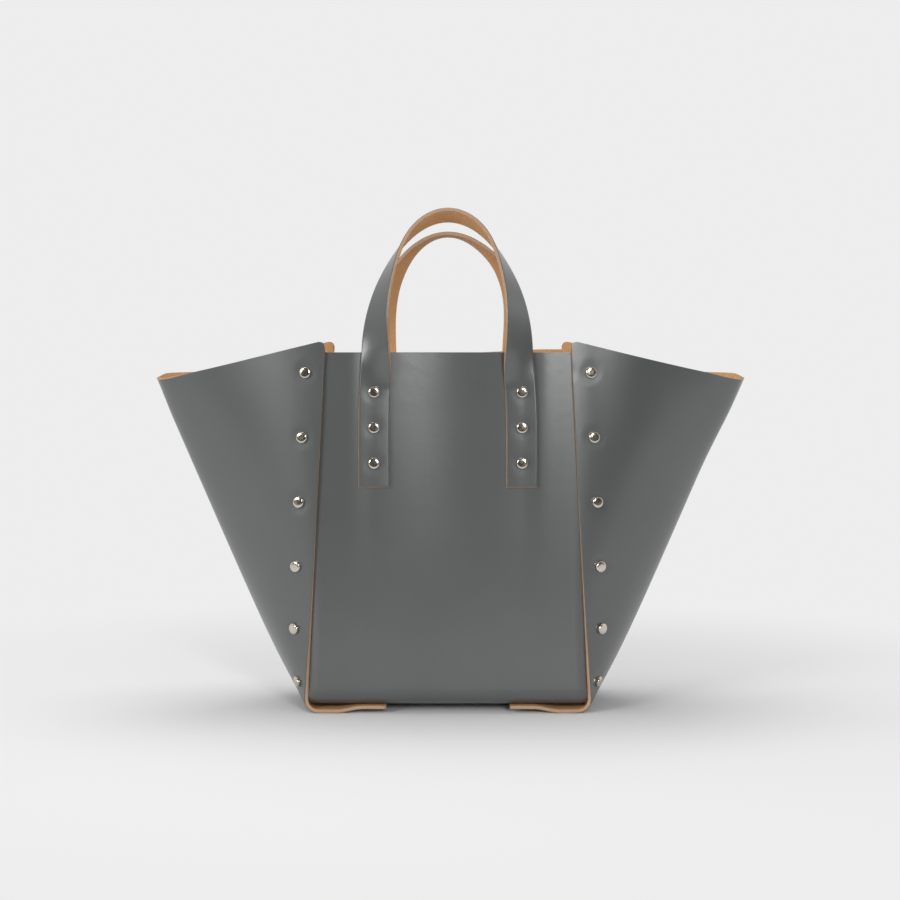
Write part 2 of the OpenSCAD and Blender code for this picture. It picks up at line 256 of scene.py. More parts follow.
def border_frame(coat, flesh, row, col):
    """Thickness, grain direction, middle and outward direction at each point of the border."""
    rows, cols = coat.shape[:2]
    through = coat[row, col] - flesh[row, col]
    thick, grain = np.linalg.norm(through, axis=-1, keepdims=True), unit(through)
    mid = (coat[row, col] + flesh[row, col]) / 2
    before, after = np.roll(mid, 1, 0), np.roll(mid, -1, 0)
    tangent = unit(unit(after - mid) + unit(mid - before))
    out = unit(np.cross(grain, tangent))
    inside = coat[np.clip(row, 1, rows - 2), np.clip(col, 1, cols - 2)]
    sign = np.sign(((mid - inside) * out).sum(-1))
    mitre = 1 / np.clip((unit(after - mid) * tangent).sum(-1), MITRE_LIMIT, 1)
    return thick, grain, mid, out * (sign * mitre)[:, None]


def sheet_faces(rows, cols, border, rings):
    """Faces of both grids and through the rings between their borders, and the kind of each."""
    count = rows * cols
    around = np.arange(len(border))
    loops = [border] + [2 * count + k * len(border) + around for k in range(rings)]
    loops.append(count + border)
    i, j = np.meshgrid(np.arange(rows - 1), np.arange(cols - 1), indexing="ij")
    corner = (i * cols + j).ravel()
    faces = [np.stack([corner, corner + 1, corner + cols + 1, corner + cols], 1),
             count + np.stack([corner, corner + cols, corner + cols + 1, corner + 1], 1)]
    kinds = [np.full(len(corner), COAT), np.full(len(corner), FLESH)]
    for here, after in zip(loops[:-1], loops[1:]):
        faces.append(np.stack([here, after, np.roll(after, -1), np.roll(here, -1)], 1))
        kinds.append(np.full(len(here), CUT))
    return np.concatenate(faces).tolist(), np.concatenate(kinds).tolist()


def leather_sheet(name, coat, flesh, materials, undercut=None):
    """Closed sheet between two grids, with bevelled cut edges.

    undercut gives the slope of the cut, from the middle and the direction of each border point.
    """
    rows, cols = coat.shape[:2]
    row, col = np.array(border_loop(rows, cols)).T
    thick, grain, mid, out = border_frame(coat, flesh, row, col)
    slope = 0 if undercut is None else undercut(mid, out)[:, None]

    coat, flesh = coat.copy(), flesh.copy()
    base = flesh[row, col].copy()
    coat[row, col] -= BEVEL_COAT * out
    flesh[row, col] -= (BEVEL_FLESH + slope * thick) * out
    rings = [base + (outwards - slope * (thick - height)) * out + height * grain
             for outwards, height in edge_profile(thick)]
    verts = np.concatenate([coat.reshape(-1, 3), flesh.reshape(-1, 3)] + rings)
    faces, kinds = sheet_faces(rows, cols, row * cols + col, len(rings))
    return mesh_object(name, verts, faces, kinds, materials)


def mesh_object(name, verts, faces, kinds, materials):
    """A smooth-shaded object whose faces take the material of their kind, sharp between kinds."""
    mesh = bpy.data.meshes.new(name)
    mesh.from_pydata((verts * MM).tolist(), [], faces)
    for material in materials:
        mesh.materials.append(material)
    mesh.polygons.foreach_set("material_index", kinds)
    mesh.polygons.foreach_set("use_smooth", np.ones(len(faces), bool))
    mesh.update()
    kind_of = {}
    for face, kind in zip(faces, kinds):
        for a, b in zip(face, face[1:] + face[:1]):
            kind_of.setdefault((min(a, b), max(a, b)), set()).add(kind)
    for edge in mesh.edges:
        a, b = edge.vertices
        edge.use_edge_sharp = len(kind_of[(min(a, b), max(a, b))]) > 1
    mesh.validate()
    obj = bpy.data.objects.new(name, mesh)
    bpy.context.scene.collection.objects.link(obj)
    fix_orientation(obj)
    return obj


def fix_orientation(obj):
    """Turns the faces over if the closed mesh is inside out."""
    mesh = obj.data
    co = np.zeros(len(mesh.vertices) * 3)
    mesh.vertices.foreach_get("co", co)
    co = co.reshape(-1, 3)
    mesh.calc_loop_triangles()
    tri = np.zeros(len(mesh.loop_triangles) * 3, np.int32)
    mesh.loop_triangles.foreach_get("vertices", tri)
    a, b, c = (co[tri.reshape(-1, 3)[:, k]] for k in range(3))
    if (a * np.cross(b, c)).sum() < 0:
        mesh.flip_normals()


# Side panels

# Towards the top the left seam's cut slopes under the leather, out of sight from the front.
# Only border points that face right, and hardly up or down, are sloped.
UNDERCUT, UNDERCUT_LOW, UNDERCUT_HIGH, UNDERCUT_UPWARD = 0.2, 90.0, 230.0, 0.5


def seam_undercut(points, out):
    """Slope of the cut at the border points of a side panel."""
    right_facing = (out[:, 0] > 0) & (np.abs(out[:, 2]) < UNDERCUT_UPWARD)
    rise = smooth((points[:, 2] - UNDERCUT_LOW) / (UNDERCUT_HIGH - UNDERCUT_LOW))
    return UNDERCUT * right_facing * rise


def half_columns():
    """Distances from the cut edge near the seam, then shares of the rest of the wall."""
    angle = np.linspace(0, math.pi / 2, EDGE_STEPS + 1)
    fixed = np.concatenate([CORNER_R * (1 - np.cos(angle)),
                            np.arange(CORNER_R + SEAM_STEP, SEAM_BAND, SEAM_STEP)])
    q = np.arange(1, WALL_COLS + 1) / WALL_COLS
    return fixed, 1 - (1 - q) ** WALL_CROWDING


def column_lengths(total):
    """Distance of each half column from the cut edge; total is the wall's length there.

    The last axis of total holds one length for all columns or one for each.
    """
    fixed, shares = half_columns()
    near = np.broadcast_to(fixed, total.shape[:-1] + fixed.shape)
    far = fixed[-1] + (total[..., -len(shares):] - fixed[-1]) * shares
    return np.concatenate([near, far], -1)


def rim_heights():
    """Height of the rim at each half column: high at the seam's round corner, low at the tip."""
    s = column_lengths(path_length(np.array([CORNER_Z]))[..., None])[0]
    far = 1 - s / s[-1]
    dip = np.maximum(0, CORNER_R - s)
    return (TIP_Z + (CORNER_Z - TIP_Z) * far ** RIM_POWER
            - CORNER_R + np.sqrt(CORNER_R ** 2 - dip ** 2))


# Near the wing tip the front half of the rim sags and flares, and the back half stands higher
TIP_SAG, TIP_FLARE, TIP_PEAK, TIP_FADE, TIP_DEPTH = 1.9, 3.6, 11.0, 52.0, 34.0
TIP_LIFT = 2.4
FLARE_DEPTH = 0.6 * TIP_DEPTH
# The right wing reaches a little further at its tip. It also swells forward beside its upper
# rivets, by an amount read from shading and not measured.
REACH, REACH_START, REACH_LOW = 4.2, 150.0, 190.0
SWELL, SWELL_START, SWELL_CREST, SWELL_END = 2.2, 16.0, 58.0, 110.0
SWELL_LOW, SWELL_HIGH = 150.0, 245.0


def settle_tip(points, from_tip, below_rim, side):
    """Moves the points near a wing tip; side is -1 on the front half and 1 on the back half."""
    fall = 1 - smooth((from_tip - TIP_PEAK) / (TIP_FADE - TIP_PEAK))
    rise = smooth(from_tip / TIP_PEAK) * fall
    near_rim = 1 - smooth(below_rim / TIP_DEPTH)
    share = rise * near_rim
    moved = points.copy()
    moved[..., 2] += side * TIP_SAG * share
    moved[..., 2] += TIP_LIFT * (1 - smooth(from_tip / TIP_FADE)) * near_rim
    if side < 0:
        moved[..., 1] -= TIP_FLARE * rise * np.maximum(0, 1 - below_rim / FLARE_DEPTH) ** 2
    return moved


def stretch_wing(points, from_seam, side):
    """The right wing's own shape; side is -1 on the front half and 1 on the back half."""
    moved = points.copy()
    x, z = points[..., 0], points[..., 2]
    moved[..., 0] += (REACH * smooth((x - REACH_START) / (TIP_X - REACH_START))
                      * smooth((z - REACH_LOW) / (TIP_Z - REACH_LOW)))
    if side < 0:
        rise = smooth((from_seam - SWELL_START) / (SWELL_CREST - SWELL_START))
        fall = 1 - smooth((from_seam - SWELL_CREST) / (SWELL_END - SWELL_CREST))
        moved[..., 1] -= SWELL * rise * fall * smooth((z - SWELL_LOW) / (SWELL_HIGH - SWELL_LOW))
    return moved


def half_wall(side, sign):
    """Rows of joint-face points of the wall from its foot to its rim, for one half of the depth."""
    rims = rim_heights()
    u = (np.arange(WALL_ROWS + 1) / WALL_ROWS) ** WALL_CROWDING
    z = WALL_Z + (rims[None, :] - WALL_Z) * u[:, None]
    total = path_length(z)
    s = column_lengths(total)
    points = settle_tip(path_points(z, s), total - s, rims[None, :] - z, side)
    return stretch_wing(points, s, side) if sign > 0 else points


def tab_height(x):
    """Height of the tab's joint face: flat at the fold, lifted towards its free end."""
    return LEATHER_T + SHEET_GAP / 2 + TAB_LIFT * smooth((TAB_RISE_X - x) / TAB_RISE_LEN)


def half_foot(wall):
    """Rows from the free end of the tab through the floor fold, up to the foot of the wall."""
    xs = np.arange(TAB_END_X, FOLD_X - FOLD_RUN, TAB_STEP)
    y = wall[0, :, 1] * TAB_HALF / -wall[0, 0, 1]
    tab = np.stack(np.broadcast_arrays(xs[:, None], y[None, :], tab_height(xs)[:, None]), -1)
    start_x = FOLD_X - FOLD_RUN
    start = np.stack(np.broadcast_arrays(start_x, y, tab_height(start_x)), -1)
    last = wall[0]
    up = unit(wall[1] - wall[0])
    reach = FOLD_PULL * np.linalg.norm(last - start, axis=-1, keepdims=True)
    t = (np.arange(FOLD_ROWS) / FOLD_ROWS)[:, None, None]
    fold = bezier(t, start, start + reach * np.array([1, 0, 0]), last - reach * up, last)
    return np.concatenate([tab, fold]), len(xs) + 1


def side_panel(name, sign, materials):
    """A side panel: sign is 1 on the right and -1 on the left."""
    halves = []
    for side in (-1, 1):
        wall = half_wall(side, sign)
        foot, flat_rows = half_foot(wall)
        half = np.concatenate([foot, wall])
        half[..., 1] *= -side
        halves.append(half)
    front, back = halves
    grid = np.concatenate([front, back[:, -2::-1]], 1)
    normals = grid_normals(grid)
    if normals[-1, 0, 1] > 0:
        normals = -normals
    normals[:flat_rows] = [0, 0, -1]
    rivets = []
    for point, axis in seam_rivets():
        rivets += [(point, axis), (point * [1, -1, 1], axis * [1, -1, 1])]
    height = LEATHER_T + SHEET_GAP / 2 - round_over(side_distance(grid))
    coat = dents(grid + height[..., None] * normals, normals, rivets)
    flesh = grid + SHEET_GAP / 2 * normals
    flip = np.array([sign, 1, 1])
    return leather_sheet(name, coat * flip, flesh * flip, materials, seam_undercut)


# Main panel

FLAT_COLS, BEND_COLS, MARGIN_COLS = 34, 9, 12
FRONT_STEP, ROLL_ROWS, BASE_ROWS = 3.0, 14, 16
LEAST_HEADING = math.radians(0.01)

# The front is hollow between the straps and stands forward a little between a strap and the seam.
# The depths are read from shading and not measured.
WAVE_MIDDLE, WAVE_SIDE, WAVE_CREST, WAVE_END = 3.3, 1.25, 79.0, 101.0
WAVE_LOW, WAVE_HIGH = 50.0, 260.0

# The back's top stands higher on the right, and a little lower elsewhere
TILT, TILT_START, TILT_RUN, TILT_DROP = 2.8, 20.0, 70.0, 0.3
TILT_LOW, TILT_FADE = 150.0, 120.0


def panel_wave(x, z):
    """Hollows of the front and back, towards the bag's inside; none at the rivets."""
    x, z = np.abs(x), np.asarray(z)
    middle = WAVE_MIDDLE * (1 + np.cos(math.pi * np.minimum(x / STRAP_X, 1))) / 2
    crest = (smooth((x - STRAP_X) / (WAVE_CREST - STRAP_X))
             * smooth((WAVE_END - x) / (WAVE_END - WAVE_CREST)))
    return (middle - WAVE_SIDE * crest) * smooth((z - WAVE_LOW) / (WAVE_HIGH - WAVE_LOW))


def back_tilt(x, z):
    """How much higher the back stands."""
    across = smooth((x - TILT_START) / TILT_RUN) - TILT_DROP
    return TILT * across * smooth((z - TILT_LOW) / TILT_FADE)


def main_half_row(z, tilt):
    """Points (x, depth inwards) of half a row: flat part, bend, margin."""
    share = tilt / 90
    upright = tilt == 0
    row_z = z if upright else BASE_Z + ROLL_R
    heading = max(LEAST_HEADING, float(turn(row_z)) * (1 - share))
    radius = BEND_LEN * (1 - BASE_BEND_CUT * share) / heading
    straight = edge_x(row_z) - bend_radius(row_z) * math.sin(turn(row_z))
    flat = [(straight * part, 0) for part in np.linspace(0, 1, FLAT_COLS + 1)[:-1]]
    bend = [(straight + radius * math.sin(a), radius * (1 - math.cos(a)))
            for a in np.linspace(0, heading, BEND_COLS + 1)]
    if upright:
        widening = float(smooth((z - BASE_Z - ROLL_R + MARGIN_START) / MARGIN_TAPER))
        margin = STUB_MARGIN + (MARGIN_W - STUB_MARGIN) * widening
        lengths = np.linspace(0, margin, MARGIN_COLS + 1)[1:]
        tail = [(x, y + HALF_DEPTH) for x, y, _ in path_points(np.full(len(lengths), z), lengths)]
    else:
        x, depth = bend[-1]
        tail = [(x + length * math.cos(heading), depth + length * math.sin(heading))
                for length in np.linspace(0, STUB_MARGIN, MARGIN_COLS + 1)[1:]]
    return np.array(flat + bend + tail)


def main_row(y, z, tilt):
    """A row of joint-face points; tilt is how far the roll has turned here, in degrees."""
    half = main_half_row(z, tilt)
    full = np.concatenate([half[:0:-1] * [-1, 1], half])
    a = math.radians(tilt)
    return np.stack([full[:, 0], y + full[:, 1] * math.cos(a), z + full[:, 1] * math.sin(a)], -1)


def main_grid():
    """Rows of joint-face points from the front's top through the base to the back's top."""
    rows = int((PANEL_TOP - BASE_Z - ROLL_R) / FRONT_STEP)
    heights = np.linspace(PANEL_TOP, BASE_Z + ROLL_R, rows)
    front = [main_row(-HALF_DEPTH, z, 0) for z in heights]
    for row in front:
        row[:, 1] += panel_wave(row[:, 0], row[:, 2])
    for a in np.linspace(0, 90, ROLL_ROWS + 1)[1:]:
        q = math.radians(a)
        front.append(main_row(-HALF_DEPTH + ROLL_R * (1 - math.cos(q)),
                              BASE_Z + ROLL_R * (1 - math.sin(q)), a))
    front = np.array(front)
    back = front[::-1] * [1, -1, 1]
    back[..., 2] += back_tilt(back[..., 0], back[..., 2])
    base = [front[-1] + (back[0] - front[-1]) * q
            for q in np.linspace(0, 1, BASE_ROWS + 1)[1:-1]]
    return np.concatenate([front, np.array(base), back])


def main_panel(name, materials):
    """The front, base and back in one sheet."""
    grid = main_grid()
    normals = grid_normals(grid)
    if normals[0, grid.shape[1] // 2, 1] < 0:
        normals = -normals
    coat = grid + SHEET_GAP / 2 * normals
    flesh = grid + (LEATHER_T + SHEET_GAP / 2) * normals
    return leather_sheet(name, coat, flesh, materials)


# Handles

STRAP_COLS, STRAP_STEP, ARCH_STEPS = 16, 2.0, 120
STRAP_RIM = np.array([0, 0.12, 0.35, 0.7, 1.1])

# Devices of the looks, not findings. Where the straps lie flat, the slope of their cut edges and
# the crown of their coat bring their lines and their shading nearer to the photo's.
# A border point is on a side when its outward direction has FACING or more along it.
CUT_SLOPE, CUT_DROP, CUT_FADE, FACING = 0.24, 20.0, 40.0, 0.7
STRAP_CROWN, CROWN_FADE = 0.4, 40.0

# Where the straps stop following the panel's wave, measured from the panel's top
FOLLOW_DROP, FOLLOW_FADE = 8.0, 60.0


def strap_cut(points, out):
    """Slope of the cut: the left and lower edges lean out and the right edges lean in."""
    sideways = np.sign(out[:, 0]) * (np.abs(out[:, 0]) > FACING)
    tilt = np.where(out[:, 2] < -FACING, -1, sideways)
    return CUT_SLOPE * tilt * (1 - smooth((points[:, 2] - TWIST_START_Z + CUT_DROP) / CUT_FADE))


def strap_frames(rise, top_twist):
    """Centre line of a front strap with its width and grain directions, left end to right end."""
    legs = STRAP_LOW + np.concatenate(
        [STRAP_RIM, np.arange(STRAP_STEP, ARCH_Z - STRAP_LOW, STRAP_STEP)])
    centres, twists = [], []
    for z in legs:
        t = max(0.0, (z - TWIST_START_Z) / (ARCH_Z - TWIST_START_Z))
        twist = TWIST_PANEL * t * t * (2 - t)
        centres.append((-STRAP_X, -STRAP_Y, z))
        twists.append(twist)
    for a in np.linspace(0, 90, ARCH_STEPS // 2 + 1):
        q = math.radians(a)
        centres.append((-STRAP_X * math.cos(q), -STRAP_Y + ARCH_LEAN * math.sin(q) ** 2,
                        ARCH_Z + rise * math.sin(q)))
        twists.append(TWIST_PANEL + (top_twist - TWIST_PANEL) * math.sin(q) ** TWIST_POWER)
    flip = np.array([-1, 1, 1])
    centres = np.concatenate([centres, np.array(centres)[-2::-1] * flip])
    twists = np.radians(np.concatenate([twists, twists[-2::-1]]))
    # the outer edge stays against the panel while the strap turns, so its middle comes forward
    limit = math.radians(FORWARD_TWIST)
    turned = limit * np.tanh(twists / limit)
    fade = 1 - smooth((centres[:, 2] - ARCH_Z) / FORWARD_FADE)
    centres[:, 1] -= STRAP_W / 2 * np.sin(turned) * fade
    tangent = unit(np.gradient(centres, axis=0))
    outward = unit(np.cross(tangent, [0, 1, 0]))
    front = unit(np.cross(tangent, outward))
    grain = unit(np.cos(twists)[:, None] * front + np.sin(twists)[:, None] * outward)
    return centres, unit(np.cross(tangent, grain)), grain


def lean_legs(points, leans):
    """Moves both legs sideways; leans holds each leg's (low, high) move to the right."""
    x, z = points[..., 0], points[..., 2]
    share = (smooth((z - LEAN_START) / (PANEL_TOP - LEAN_START))
             * smooth((LEAN_END - z) / (LEAN_END - LEAN_FADE)))
    up = smooth((z - PANEL_TOP) / (LEAN_HIGH - PANEL_TOP))
    moves = [low + (high - low) * up for low, high in leans]
    points[..., 0] += share * np.where(x < 0, *moves)


def strap(name, side, rise, top_twist, leans, materials):
    """A handle strap: side is 1 on the front and -1 on the back."""
    centres, across, grain = strap_frames(rise, top_twist)
    inner = np.linspace(-1, 1, STRAP_COLS + 1) * (STRAP_W / 2 - STRAP_STEP)
    rim = STRAP_W / 2 - STRAP_RIM
    q = np.concatenate([-rim, inner, rim[::-1]])
    mid = centres[:, None] + across[:, None] * q[None, :, None]
    lean_legs(mid, leans)
    follow = 1 - smooth((mid[..., 2] - PANEL_TOP + FOLLOW_DROP) / FOLLOW_FADE)
    mid[..., 1] += follow * panel_wave(mid[..., 0], mid[..., 2])
    normals = np.broadcast_to(grain[:, None], mid.shape)
    rivets = [(np.array([x, -STRAP_Y, z]), np.array([0, -1.0, 0]))
              for x in (-STRAP_X, STRAP_X) for z in STRAP_RIVET_Z]
    drop = round_over(np.minimum(STRAP_W / 2 - np.abs(q)[None, :], centres[:, 2:] - STRAP_LOW))
    drop = drop + (STRAP_CROWN * (2 * q[None, :] / STRAP_W) ** 2
                   * (1 - smooth((centres[:, 2:] - TWIST_START_Z) / CROWN_FADE)))
    coat = dents(mid + (STRAP_T / 2 - drop)[..., None] * normals, normals, rivets)
    flesh = mid - STRAP_T / 2 * normals
    flip = np.array([1, side, 1])
    return leather_sheet(name, coat * flip, flesh * flip, materials, strap_cut)


# Rivet caps

CAP_D, CAP_H, CAP_RIM, CAP_SEAT = 9.3, 2.6, 0.5, 0.25
CAP_FOOT, CAP_FULLNESS, CAP_STEPS, CAP_SEGMENTS = 0.45, 4.2, 14, 48


def cap_profile():
    """(radius, height above the seat) of a low round-shouldered cap, from its foot to its top."""
    radius, crown = CAP_D / 2, CAP_H - CAP_RIM
    angles = np.linspace(0, math.pi / 2, CAP_STEPS + 1)[:-1]
    power = 2 / CAP_FULLNESS
    return [(radius, -CAP_FOOT), (radius, 0)] + [
        (radius * math.cos(a) ** power, CAP_RIM + crown * math.sin(a) ** power) for a in angles]


def rivet_caps(name, places, material):
    """One object with a cap at each (point on the joint face, outward axis)."""
    profile = cap_profile()
    rings = len(profile)
    turns = 2 * math.pi * np.arange(CAP_SEGMENTS)[:, None] / CAP_SEGMENTS
    verts, faces = [], []
    for point, axis in places:
        seat = point + axis * (SHEET_GAP / 2 + LEATHER_T + CAP_SEAT)
        side = unit(np.cross(axis, [0.0, 0.0, 1.0]))
        up = np.cross(side, axis)
        spokes = np.cos(turns) * side + np.sin(turns) * up
        first = len(verts)
        for radius, height in profile:
            verts.extend(seat + height * axis + radius * spokes)
        verts.append(seat + CAP_H * axis)
        top = first + (rings - 1) * CAP_SEGMENTS
        for k in range(CAP_SEGMENTS):
            after = (k + 1) % CAP_SEGMENTS
            for ring in range(rings - 1):
                a = first + ring * CAP_SEGMENTS
                faces.append([a + k, a + after, a + CAP_SEGMENTS + after, a + CAP_SEGMENTS + k])
            faces.append([top + k, top + after, len(verts) - 1])
        faces.append([first + k for k in range(CAP_SEGMENTS - 1, -1, -1)])
    return mesh_object(name, np.array(verts), faces, [0] * len(faces), [material])


# Materials

def new_material(name):
    material = bpy.data.materials.new(name)
    material.use_nodes = True
    tree = material.node_tree
    return material, tree, tree.nodes["Principled BSDF"]


def node(tree, kind, **values):
    made = tree.nodes.new(kind)
    for key, value in values.items():
        if hasattr(made, key):
            setattr(made, key, value)
        else:
            made.inputs[key.replace("_", " ")].default_value = value
    return made


# Most values of a noise texture lie in this middle band
NOISE_LOW, NOISE_HIGH = 0.3, 0.7


def noise(tree, coords, scale, detail=4.0, roughness=0.55):
    made = node(tree, "ShaderNodeTexNoise", Scale=scale, Detail=detail, Roughness=roughness)
    tree.links.new(coords, made.inputs["Vector"])
    return made.outputs["Fac"]


def two_tones(tree, value, low_colour, high_colour):
    """Colours a noise value from one tone to the other."""
    made = node(tree, "ShaderNodeValToRGB")
    stops = ((NOISE_LOW, low_colour), (NOISE_HIGH, high_colour))
    for element, (position, colour) in zip(made.color_ramp.elements, stops):
        element.position = position
        element.color = (*colour, 1)
    tree.links.new(value, made.inputs["Fac"])
    return made.outputs["Color"]


def spread(tree, value, low, high):
    """Maps a noise value from its middle band to low..high."""
    made = node(tree, "ShaderNodeMapRange",
                From_Min=NOISE_LOW, From_Max=NOISE_HIGH, To_Min=low, To_Max=high)
    tree.links.new(value, made.inputs["Value"])
    return made.outputs["Result"]


def bump(tree, height, distance, strength=1.0, under=None):
    made = node(tree, "ShaderNodeBump", Distance=distance, Strength=strength)
    tree.links.new(height, made.inputs["Height"])
    if under is not None:
        tree.links.new(under, made.inputs["Normal"])
    return made.outputs["Normal"]


def object_coords(tree):
    return node(tree, "ShaderNodeTexCoord").outputs["Object"]


def grey_coat():
    """Smooth painted leather: faint mottling, fine pores and a satin sheen."""
    material, tree, shader = new_material("grey_coat")
    coords = object_coords(tree)
    cloud = noise(tree, coords, scale=14.0, detail=3.0)
    colour = two_tones(tree, cloud, (0.066, 0.07, 0.069), (0.074, 0.078, 0.077))
    tree.links.new(colour, shader.inputs["Base Color"])
    shader.inputs["Specular IOR Level"].default_value = 0.95
    shader.inputs["Roughness"].default_value = 0.29
    pores = noise(tree, coords, scale=900.0, detail=2.0)
    fine = bump(tree, pores, distance=0.00003, strength=0.5)
    grain = noise(tree, coords, scale=120.0, detail=3.0)
    soft = bump(tree, grain, distance=0.00015, strength=0.5, under=fine)
    tree.links.new(soft, shader.inputs["Normal"])
    return material


def flesh_side():
    """Raw tan flesh side: short fibres, matt."""
    material, tree, shader = new_material("tan_flesh")
    coords = object_coords(tree)
    fibres = noise(tree, coords, scale=700.0, detail=6.0, roughness=0.7)
    colour = two_tones(tree, fibres, (0.48, 0.25, 0.105), (0.66, 0.38, 0.175))
    tree.links.new(colour, shader.inputs["Base Color"])
    shader.inputs["Roughness"].default_value = 0.88
    rough = bump(tree, fibres, distance=0.0002, strength=0.7)
    tree.links.new(rough, shader.inputs["Normal"])
    return material


def cut_edge():
    """Raw cut edge: pale tan with fine layers."""
    material, tree, shader = new_material("tan_edge")
    coords = object_coords(tree)
    layers = noise(tree, coords, scale=420.0, detail=5.0, roughness=0.65)
    colour = two_tones(tree, layers, (0.36, 0.22, 0.13), (0.43, 0.27, 0.165))
    tree.links.new(colour, shader.inputs["Base Color"])
    shader.inputs["Roughness"].default_value = 0.7
    rough = bump(tree, layers, distance=0.00005, strength=0.4)
    tree.links.new(rough, shader.inputs["Normal"])
    return material


def nickel():
    """Polished nickel plate with faint handling marks."""
    material, tree, shader = new_material("nickel_plate")
    coords = object_coords(tree)
    marks = noise(tree, coords, scale=500.0, detail=4.0)
    colour = two_tones(tree, marks, (0.6, 0.54, 0.46), (0.7, 0.64, 0.56))
    tree.links.new(colour, shader.inputs["Base Color"])
    shader.inputs["Metallic"].default_value = 1.0
    tree.links.new(spread(tree, marks, low=0.12, high=0.22), shader.inputs["Roughness"])
    return material


# Stage

WHITE = (1, 1, 1, 1)
FLOOR_LIT, BACKGROUND, AMBIENT = 0.88, 0.847, 0.31
# Brightness of the dim room that is reflected in front, and where it passes into the backdrop
ROOM, ROOM_MID, ROOM_END = 0.05, -0.8, 0.1
FLOOR_HALF, FLOOR_FRONT = 4.0, 0.68
FLOOR_FADE_START, FLOOR_FADE_END = 0.2, 0.68

# Set so that the bag's edges fall where they do in the photo
LENS, SENSOR_W, SHIFT_Y = 78.05, 36.0, -0.1211
CAMERA_PLACE = (0.00164, -1.665, 0.3063)

# Name, place, target, size and watts of each lamp
LAMPS = (
    ("key", (-1.7, -1.8, 0.85), (0, 0, 0.15), (0.9, 0.9), 28.5),
    ("front", (0.6, -2.4, 0.74), (0, 0, 0.2), (0.4, 0.5), 24.0),
    ("side", (1.9, 0.3, 0.9), (0, 0, 0.15), (0.8, 1.4), 1.2),
    ("top", (-0.1, 0.3, 2.0), (0, 0, 0.1), (1.6, 1.2), 19.0))


def light_path_mask(tree):
    """1 for camera, glossy and transmission rays, 0 for the rays that light the object."""
    path = node(tree, "ShaderNodeLightPath")
    total = path.outputs["Is Camera Ray"]
    for kind in ("Is Glossy Ray", "Is Transmission Ray"):
        add = node(tree, "ShaderNodeMath", operation="ADD", use_clamp=True)
        tree.links.new(total, add.inputs[0])
        tree.links.new(path.outputs[kind], add.inputs[1])
        total = add.outputs[0]
    return total


def make_world():
    """Even light for the object; the camera and the reflections see a backdrop instead."""
    world = bpy.data.worlds.new("studio")
    bpy.context.scene.world = world
    world.use_nodes = True
    tree = world.node_tree
    light = tree.nodes["Background"]
    light.inputs["Color"].default_value = WHITE
    light.inputs["Strength"].default_value = AMBIENT
    seen = node(tree, "ShaderNodeBackground", Color=WHITE, Strength=BACKGROUND)
    # reflections see a dim room straight in front of the bag and the pale backdrop elsewhere
    room = node(tree, "ShaderNodeBackground", Color=WHITE)
    split = node(tree, "ShaderNodeSeparateXYZ")
    tree.links.new(node(tree, "ShaderNodeTexCoord").outputs["Generated"], split.inputs[0])
    side = node(tree, "ShaderNodeMapRange", interpolation_type="SMOOTHSTEP",
                From_Min=ROOM_MID, From_Max=ROOM_END, To_Min=ROOM, To_Max=BACKGROUND)
    tree.links.new(split.outputs["Y"], side.inputs["Value"])
    tree.links.new(side.outputs["Result"], room.inputs["Strength"])
    reflected = node(tree, "ShaderNodeMixShader")
    tree.links.new(node(tree, "ShaderNodeLightPath").outputs["Is Camera Ray"], reflected.inputs[0])
    tree.links.new(room.outputs[0], reflected.inputs[1])
    tree.links.new(seen.outputs[0], reflected.inputs[2])
    mix = node(tree, "ShaderNodeMixShader")
    tree.links.new(light_path_mask(tree), mix.inputs[0])
    tree.links.new(light.outputs[0], mix.inputs[1])
    tree.links.new(reflected.outputs[0], mix.inputs[2])
    tree.links.new(mix.outputs[0], tree.nodes["World Output"].inputs["Surface"])


def make_floor():
    """A paper floor that ends before the camera and fades into the background with distance."""
    corners = [(-FLOOR_HALF, -FLOOR_FRONT, 0), (FLOOR_HALF, -FLOOR_FRONT, 0),
               (FLOOR_HALF, FLOOR_HALF, 0), (-FLOOR_HALF, FLOOR_HALF, 0)]
    mesh = bpy.data.meshes.new("floor")
    mesh.from_pydata(corners, [], [(0, 1, 2, 3)])
    floor = bpy.data.objects.new("floor", mesh)
    bpy.context.scene.collection.objects.link(floor)
    material, tree, shader = new_material("floor_paper")
    shader.inputs["Base Color"].default_value = (FLOOR_LIT, FLOOR_LIT, FLOOR_LIT, 1)
    shader.inputs["Roughness"].default_value = 0.9
    shader.inputs["Specular IOR Level"].default_value = 0.1
    glow = node(tree, "ShaderNodeEmission", Color=WHITE, Strength=BACKGROUND)
    length = node(tree, "ShaderNodeVectorMath", operation="LENGTH")
    tree.links.new(object_coords(tree), length.inputs[0])
    fade = node(tree, "ShaderNodeMapRange", interpolation_type="SMOOTHSTEP",
                From_Min=FLOOR_FADE_START, From_Max=FLOOR_FADE_END)
    tree.links.new(length.outputs["Value"], fade.inputs["Value"])
    mix = node(tree, "ShaderNodeMixShader")
    tree.links.new(fade.outputs["Result"], mix.inputs[0])
    tree.links.new(shader.outputs[0], mix.inputs[1])
    tree.links.new(glow.outputs[0], mix.inputs[2])
    tree.links.new(mix.outputs[0], tree.nodes["Material Output"].inputs["Surface"])
    mesh.materials.append(material)


def area_light(name, place, target, size, watts):
    """A rectangular lamp at a place, turned towards its target."""
    data = bpy.data.lights.new(name, "AREA")
    data.shape = "RECTANGLE"
    data.size, data.size_y = size
    data.energy = watts
    lamp = bpy.data.objects.new(name, data)
    bpy.context.scene.collection.objects.link(lamp)
    lamp.location = place
    direction = Vector(target) - Vector(place)
    lamp.rotation_euler = direction.to_track_quat("-Z", "Y").to_euler()


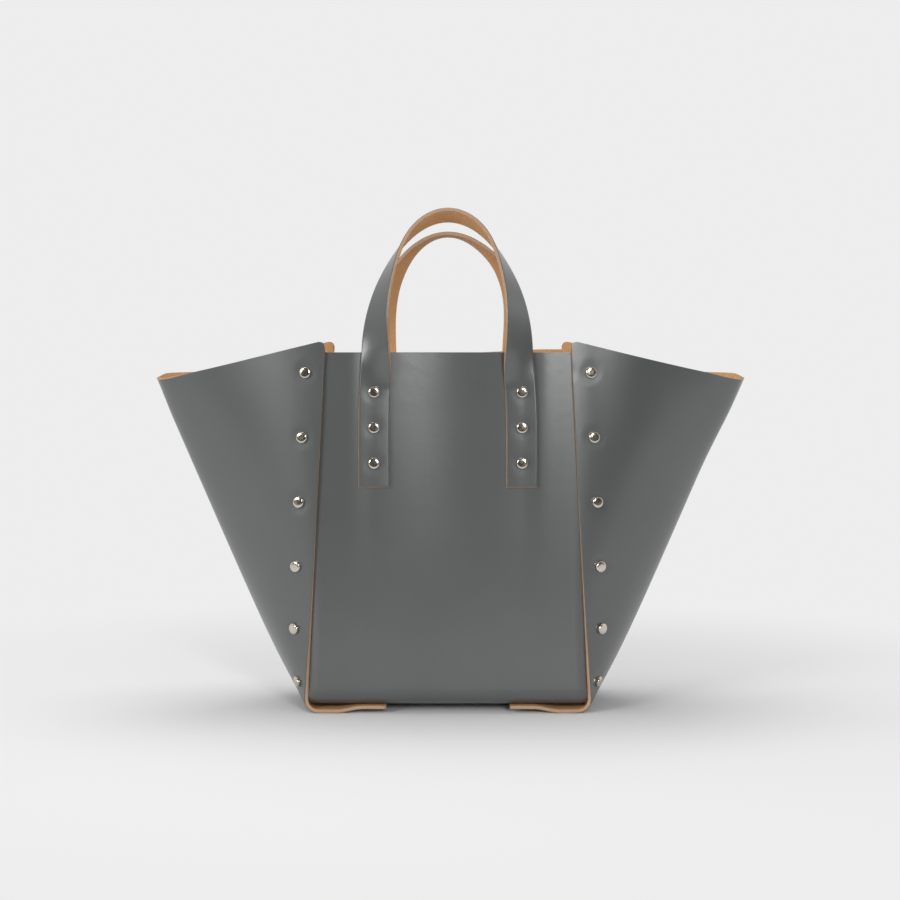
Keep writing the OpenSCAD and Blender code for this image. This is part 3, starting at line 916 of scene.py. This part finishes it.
def make_camera():
    """Level camera in front of the bag, at the height of its rim, with the picture moved down."""
    data = bpy.data.cameras.new("camera")
    data.lens, data.sensor_width = LENS, SENSOR_W
    data.shift_y = SHIFT_Y
    camera = bpy.data.objects.new("camera", data)
    bpy.context.scene.collection.objects.link(camera)
    camera.location = CAMERA_PLACE
    camera.rotation_euler = (math.pi / 2, 0, 0)
    bpy.context.scene.camera = camera


# Assembly

make_camera()
bpy.context.scene.view_settings.view_transform = "Standard"
leather = [grey_coat(), cut_edge(), flesh_side()]
metal = nickel()

body = main_panel("main_panel_leather", leather)
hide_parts("main_panel")
left = side_panel("left_side_leather", -1, leather)
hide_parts("left_side_panel")
right = side_panel("right_side_leather", 1, leather)
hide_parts("right_side_panel")
for piece in (body, left, right):
    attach(piece, "bag")

# The back handle stands lower and its top lies flatter, and all four legs lean their own way.
# Name, direction, rise of the arch, twist at its top, and (low, high) lean of each leg.
HANDLES = (
    ("front", 1, ARCH_RISE - 1.4, 109.0, ((1.5, 1.1), (-2.7, -1.6))),
    ("back", -1, ARCH_RISE - 11.6, 88.0, ((2.6, 0.0), (-0.5, 4.2))))
for side, sign, rise, top_twist, leans in HANDLES:
    handle = strap(side + "_handle_strap", sign, rise, top_twist, leans, leather)
    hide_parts(side + "_handle_loop", side + "_handle_left_tab", side + "_handle_right_tab")
    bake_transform(handle)

# Places at the front left, and the names of the nodes that are made from them by mirroring
front_left_places = {
    "{}_{}_seam_caps": [(point * [-1, 1, 1], axis * [-1, 1, 1]) for point, axis in seam_rivets()],
    "{}_handle_{}_caps": [(np.array([-STRAP_X, -HALF_DEPTH, z]), np.array([0.0, -1.0, 0.0]))
                          for z in STRAP_RIVET_Z]}
for pattern, places in front_left_places.items():
    for end, y in (("front", 1), ("back", -1)):
        for side, x in (("left", 1), ("right", -1)):
            flip, node_name = np.array([x, y, 1]), pattern.format(end, side)
            caps = rivet_caps(node_name.replace("_caps", "_rivets"),
                              [(point * flip, axis * flip) for point, axis in places], metal)
            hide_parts(node_name)
            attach(caps, "bag")

# Back caps and tab rivets are the solids themselves, in nickel
for name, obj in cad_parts.items():
    if name.startswith(("left_tab", "right_tab")) or name.endswith("_backs"):
        obj.data.materials.clear()
        obj.data.materials.append(metal)

make_world()
make_floor()
for lamp in LAMPS:
    area_light(*lamp)
